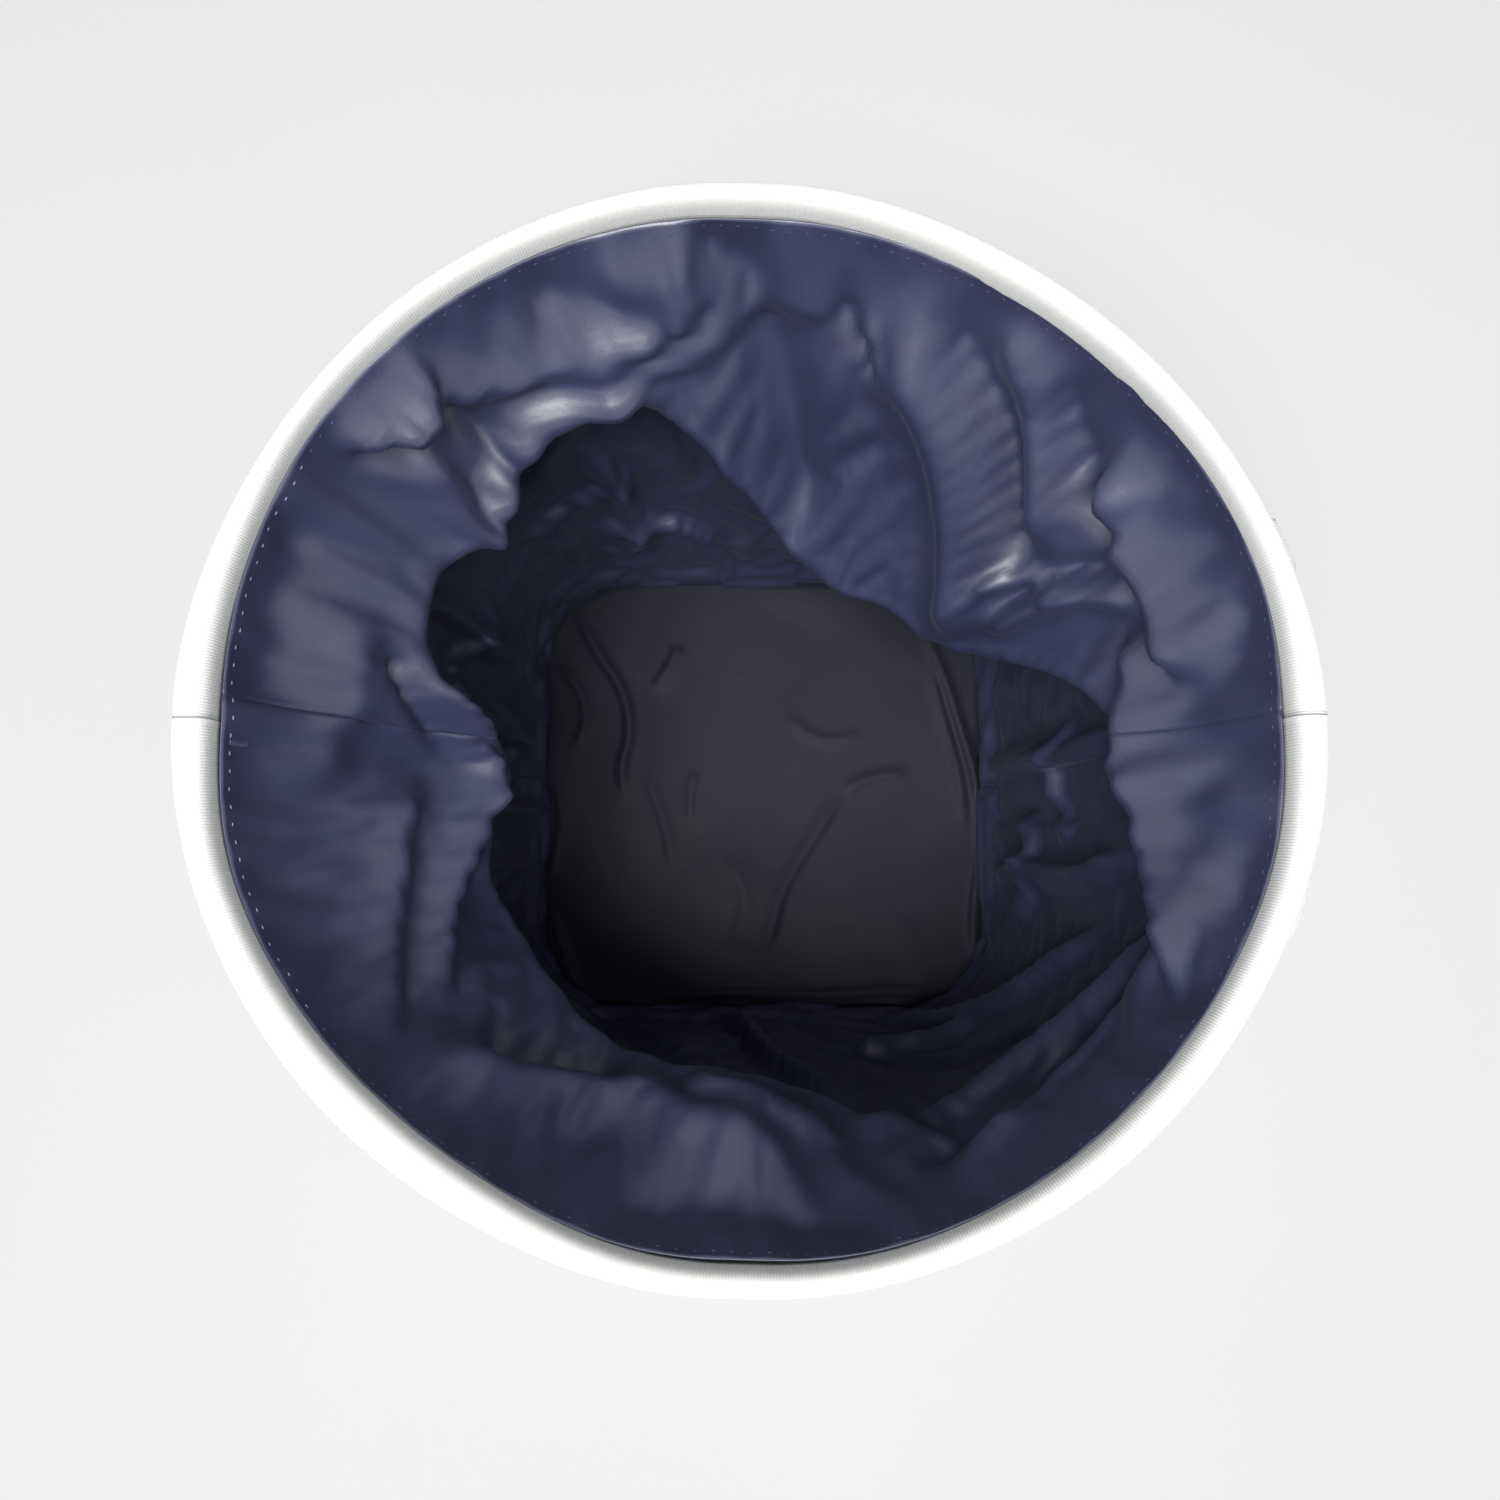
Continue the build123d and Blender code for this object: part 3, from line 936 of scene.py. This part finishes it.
def build_walls():
    for side, front in (("front", True), ("back", False)):
        shell = wall_half(f"shell_{side}", 0.0, front, HEM_BOTTOM + 0.002, CANVAS)
        add_modifier(shell, "SOLIDIFY", thickness=CANVAS, offset=1.0)
        dress(shell, CANVAS_WHITE)
        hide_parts(f"shell_{side}_panel")
        felt = wall_half(f"felt_{side}", FELT_INSET, front, HEM_BOTTOM, CANVAS + PLY_GAP)
        add_modifier(felt, "SOLIDIFY", thickness=FELT, offset=1.0)
        dress(felt, FELT_GREY)
        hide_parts(f"stiffener_{side}")
        for piece in (shell, felt):
            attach(piece, "bin")


def build_shell_base():
    """Bottom of canvas, and the rolled seam that joins it to the walls."""
    a, b = unit_square(60)
    x, y = square_to_outline(a, b, 0.0)
    z = 0.00002 + 0.00018 * (1 + smooth_noise(x.shape, 6, 2).clip(-1, 1))
    base = grid_object("shell_base", np.stack([x, y, z], axis=-1))
    add_modifier(base, "SOLIDIFY", thickness=CANVAS * 0.8, offset=-1.0)
    dress(base, CANVAS_WHITE)
    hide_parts("shell_base_panel")
    angles = np.linspace(0, TURN, 241)
    turn = np.arange(10) / 10 * TURN
    centre = wall_point(angles, np.full_like(angles, 2.2 * BASE_ROLL), 0.0)
    out = centre * (1, 1, 0)
    out /= np.linalg.norm(out, axis=1)[:, None]
    rings = centre[:, None] + BASE_ROLL * (np.cos(turn)[None, :, None] * out[:, None]
                                           + np.sin(turn)[None, :, None] * np.array([0, 0, 1.0]))
    roll = tube("base_seam_roll", rings, caps=False)
    dress(roll, CANVAS_WHITE)
    for piece in (base, roll):
        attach(piece, "bin")


def wall_strip(side, offsets, heights, stand):
    """Points on the outer wall, offsets from the side's middle, a little outside it."""
    middle = 0.0 if side > 0 else math.pi
    y, z = np.meshgrid(offsets, heights)
    angle = middle + side * y / HALF_X
    return wall_point(angle, z, -stand)


def build_side_seams():
    """Felled seam down each side, with its two rows of stitches."""
    heights = np.linspace(HEM_BOTTOM + 0.001, 4 * BASE_ROLL, 80)
    rows = []
    for name, side in (("left", -1), ("right", 1)):
        offsets = np.linspace(-WELT_WIDE / 2, WELT_WIDE / 2, 9) * 1.15
        strip = wall_strip(side, offsets, heights, 0.0)
        crown = WELT_TALL * (1 - (offsets / offsets[-1]) ** 6)
        strip[..., 0] += side * (crown - 0.0001)[None, :]
        welt = grid_object(f"side_welt_{name}", strip)
        add_modifier(welt, "SOLIDIFY", thickness=0.0006, offset=0.0)
        dress(welt, CANVAS_WHITE)
        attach(welt, "bin")
        for edge in (-0.0028, 0.0028):
            line = wall_strip(side, np.array([edge]), heights, 0.0)[:, 0]
            line[:, 0] += side * (WELT_TALL + 0.0001)
            rows.append((line, np.tile([side, 0, 0.2], (len(line), 1)).astype(float)))
    angles = np.linspace(0, TURN, 361)
    line = wall_point(angles, np.full_like(angles, 0.0075), -0.0001)
    out = line * (1, 1, 0)
    rows.append((line, out / np.linalg.norm(out, axis=1)[:, None]))
    line = wall_point(angles, np.full_like(angles, HEM_BOTTOM - 0.003), -0.0001)
    rows.append((line, out / np.linalg.norm(out, axis=1)[:, None]))
    stitches = sew("shell_stitches", rows, *SHELL_SEWING, THREAD_WHITE)
    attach(stitches, "bin")


build_walls()
build_shell_base()
build_side_seams()
dress(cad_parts["base_board"], BOARD)


# ---- Handles: flat riveted strap ends, a soft fold under the rim and a rolled grip ----
STRAP_WIDE = 0.024
STRAP_THICK = 0.003
STRAP_CORNER = 0.003
FOLD_FOOT = 0.289
FOLD_RISE = 0.0065
LUG_TALL = 0.030
LUG_TURN = 0.42      # the lug's outer half turns in with the round wall
GRIP_RADIUS = 0.0055
ROLL_LONG = 0.026    # the flat lug rolls into the round grip over this length
LOOP_STEPS = 120
LOOP_RING = 32


def rounded_half_widths(offsets, half_long, half_wide, corner):
    """Half width of a rounded rectangle at each offset along it."""
    into = np.clip(np.abs(offsets) - (half_long - corner), 0, corner)
    return half_wide - corner + np.sqrt(corner**2 - into**2)


def strap_end_grid(side, middle_y, low, high):
    """Grid over the outer wall: rows up the strap, columns across it."""
    half = (high - low) / 2
    offsets = half * np.sin(np.linspace(-math.pi / 2, math.pi / 2, 25))
    widths = rounded_half_widths(offsets, half, STRAP_WIDE / 2, STRAP_CORNER)
    share = np.linspace(-1, 1, 13)
    y = middle_y + widths[:, None] * share[None, :] * 0.94
    z = (low + high) / 2 + offsets[:, None] + 0 * y
    angle = np.arctan2(y, side * HALF_X)
    for _ in range(4):
        radius = outline_radius(angle, z, 0.0)
        angle = np.arctan2(y, side * np.sqrt(radius**2 - y**2))
    return wall_point(angle, z, -0.0004 - STRAP_THICK / 2)


def edge_line(grid, inset_rows, inset_columns):
    """Closed line a little inside the grid's edge."""
    inner = grid[inset_rows:-inset_rows, inset_columns:-inset_columns]
    line = [inner[0], inner[1:, -1], inner[-1, -2::-1], inner[-2:0:-1, 0], inner[:1, 0]]
    return np.concatenate(line)


def build_strap_end(name, side, node):
    low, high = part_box(node)
    grid = strap_end_grid(side, (low[1] + high[1]) / 2, low[2], high[2])
    strap = grid_object(name, grid)
    add_modifier(strap, "SOLIDIFY", thickness=STRAP_THICK - 0.0006, offset=0.0)
    add_modifier(strap, "BEVEL", width=0.0005, segments=2)
    dress(strap, CANVAS_STRAP)
    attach(strap, "bin")
    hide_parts(node)
    line = edge_line(grid, 4, 1)
    out = np.array([side * 1.0, 0.33 * np.sign(line[:, 1].mean()), -0.1])
    out /= np.linalg.norm(out)
    line = line + out * (STRAP_THICK / 2 - 0.0002)
    row = (line, np.tile(out, (len(line), 1)))
    stitches = sew(f"{name}_stitches", [row], *STRAP_SEWING, THREAD_WHITE)
    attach(stitches, "bin")
    return grid


def loop_path(low, high, grip_low):
    """U of the hanging loop in its own plane: (y, z) and the direction across it."""
    half = (high[1] - low[1]) / 2 - STRAP_WIDE / 2
    bend = grip_low + GRIP_RADIUS + half
    top = high[2] - 0.0005
    leg = np.linspace(top, bend, LOOP_STEPS // 3)
    turn = np.linspace(0, math.pi, LOOP_STEPS // 2)[1:-1]
    y = np.concatenate([-half + 0 * leg, -half * np.cos(turn), half + 0 * leg])
    z = np.concatenate([leg, bend - half * np.sin(turn), leg[::-1]])
    step = np.gradient(np.stack([y, z], axis=1), axis=0)
    step /= np.linalg.norm(step, axis=1)[:, None]
    return y, z, step


def build_loop(name, side, body, node):
    low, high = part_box(node)
    y, z, step = loop_path(low, high, low[2])
    middle_x = (low[0] + high[0]) / 2
    roll = smoothstep((high[2] - LUG_TALL * 0.8 - z) / ROLL_LONG)
    half_wide = STRAP_WIDE / 2 + (GRIP_RADIUS - STRAP_WIDE / 2) * roll
    half_thick = STRAP_THICK / 2 + (GRIP_RADIUS - STRAP_THICK / 2) * roll
    turn = np.arange(LOOP_RING) / LOOP_RING * TURN
    power = (0.35 + 0.65 * roll)[:, None]
    c, s = np.cos(turn)[None, :], np.sin(turn)[None, :]
    across = half_wide[:, None] * np.sign(c) * np.abs(c) ** power
    through = half_thick[:, None] * np.sign(s) * np.abs(s) ** power
    ring_y = y[:, None] - step[:, 1:] * across
    lean = LUG_TURN * np.maximum(np.abs(ring_y) - np.abs(y)[:, None], 0)
    x = middle_x + through - side * lean * (1 - roll)[:, None]
    ring_z = z[:, None] + step[:, :1] * across
    loop = tube(name, np.stack([x, ring_y, ring_z], axis=-1))
    dress(loop, CANVAS_STRAP)
    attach(loop, body)
    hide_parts(node)
    rows = []
    for share in (-0.45, 0.45):
        lift = half_thick * np.sqrt(1 - share**2 * roll) + 0.0001
        offset = share * 2 * half_wide * (0.5 + 0.3 * (1 - roll))
        line_y = y - step[:, 1] * offset
        lean = LUG_TURN * np.maximum(np.abs(line_y) - np.abs(y), 0) * (1 - roll)
        line = np.stack([middle_x + side * (lift - lean), line_y, z + step[:, 0] * offset], axis=1)
        rows.append((line, np.tile([side, 0.0, 0.0], (len(line), 1)).astype(float)))
    stitches = sew(f"{name}_stitches", rows, *GRIP_SEWING, THREAD_WHITE)
    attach(stitches, body)
    return middle_x


def build_fold(name, side, end_grid, loop_x):
    """Soft fold of the strap from its flat end up and over to the hanging loop."""
    top = end_grid[-4]
    t = np.linspace(0, 1, 17)[:, None]
    ease = smoothstep(t)
    middle = np.abs(top[:, 1]).mean()
    loop_edge = loop_x - side * LUG_TURN * np.maximum(np.abs(top[:, 1]) - middle, 0)
    x = top[None, :, 0] + (loop_edge - top[None, :, 0]) * ease
    y = top[None, :, 1] + 0 * ease
    z = FOLD_FOOT + FOLD_RISE * np.sin(math.pi * t) ** 0.7 + 0 * x
    fold = grid_object(name, np.stack([x, y, z], axis=-1))
    add_modifier(fold, "SOLIDIFY", thickness=STRAP_THICK * 0.8, offset=0.0)
    dress(fold, CANVAS_STRAP)
    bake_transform(fold)


def build_handles():
    for name, side in (("left", -1), ("right", 1)):
        loop_x = build_loop(f"grip_{name}", side, f"handle_{name}", f"handle_{name}_loop")
        for end in ("front", "back"):
            grid = build_strap_end(f"strap_{name}_{end}", side, f"handle_{name}_end_{end}")
            build_fold(f"fold_{name}_{end}", side, grid, loop_x)
        dress(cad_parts[f"handle_{name}_rivets"], NICKEL)
        dress(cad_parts[f"handle_{name}_rivet_backs"], NICKEL)


build_handles()


# ---- Stage, light and camera ----
SWEEP = [(0.01, 0.0), (2.4, 0.0), (3.0, 0.08), (3.5, 0.35), (3.8, 0.85), (3.9, 1.6), (3.9, 2.4)]
SWEEP_SIDES = 96


def build_stage():
    """Round floor that sweeps up at its edge: (radius, height) of its rings, in metres."""
    angles = np.arange(SWEEP_SIDES) / SWEEP_SIDES * TURN
    rings = [[(r * math.cos(a), r * math.sin(a), z) for a in angles] for r, z in SWEEP]
    faces = grid_faces(len(SWEEP), SWEEP_SIDES, closed=True)
    faces.append(tuple(range(SWEEP_SIDES)))
    floor = make_object("studio_floor", [point for ring in rings for point in ring], faces)
    dress(floor, floor_material("studio_floor"))


def area_light(name, place, aim, size, energy, colour=(1, 1, 1)):
    light = bpy.data.lights.new(name, "AREA")
    light.size = size
    light.energy = energy
    light.color = colour
    lamp = bpy.data.objects.new(name, light)
    lamp.location = place
    lamp.rotation_euler = (Vector(aim) - Vector(place)).to_track_quat("-Z", "Y").to_euler()
    bpy.context.collection.objects.link(lamp)


def build_light():
    world = bpy.data.worlds.new("soft_room")
    world.use_nodes = True
    world.node_tree.nodes["Background"].inputs["Color"].default_value = (1, 1, 1, 1)
    world.node_tree.nodes["Background"].inputs["Strength"].default_value = 0.24
    bpy.context.scene.world = world
    centre = (0, 0, HEIGHT / 2)
    area_light("key", (-0.22, -0.40, 1.75), centre, 0.7, 27)
    area_light("fill", (0.7, -0.4, 1.8), centre, 1.0, 5)


CAMERA_LENS = 30.7
CAMERA_RISE = 0.325    # over the rim


def build_camera():
    camera = bpy.data.cameras.new("camera")
    camera.sensor_width = 36.0
    camera.lens = CAMERA_LENS
    viewer = bpy.data.objects.new("camera", camera)
    place = Vector((0.0087, -0.0401, HEIGHT + CAMERA_RISE))
    aim = Vector((0.0012, -0.0088, HEIGHT))
    back = (place - aim).normalized()
    right = Vector((0, 1, 0)).cross(back).normalized()
    facing = Matrix((right, back.cross(right), back)).transposed()
    viewer.matrix_world = Matrix.Translation(place) @ facing.to_4x4()
    bpy.context.collection.objects.link(viewer)
    bpy.context.scene.camera = viewer


build_stage()
build_light()
build_camera()
bpy.context.scene.view_settings.view_transform = "Standard"
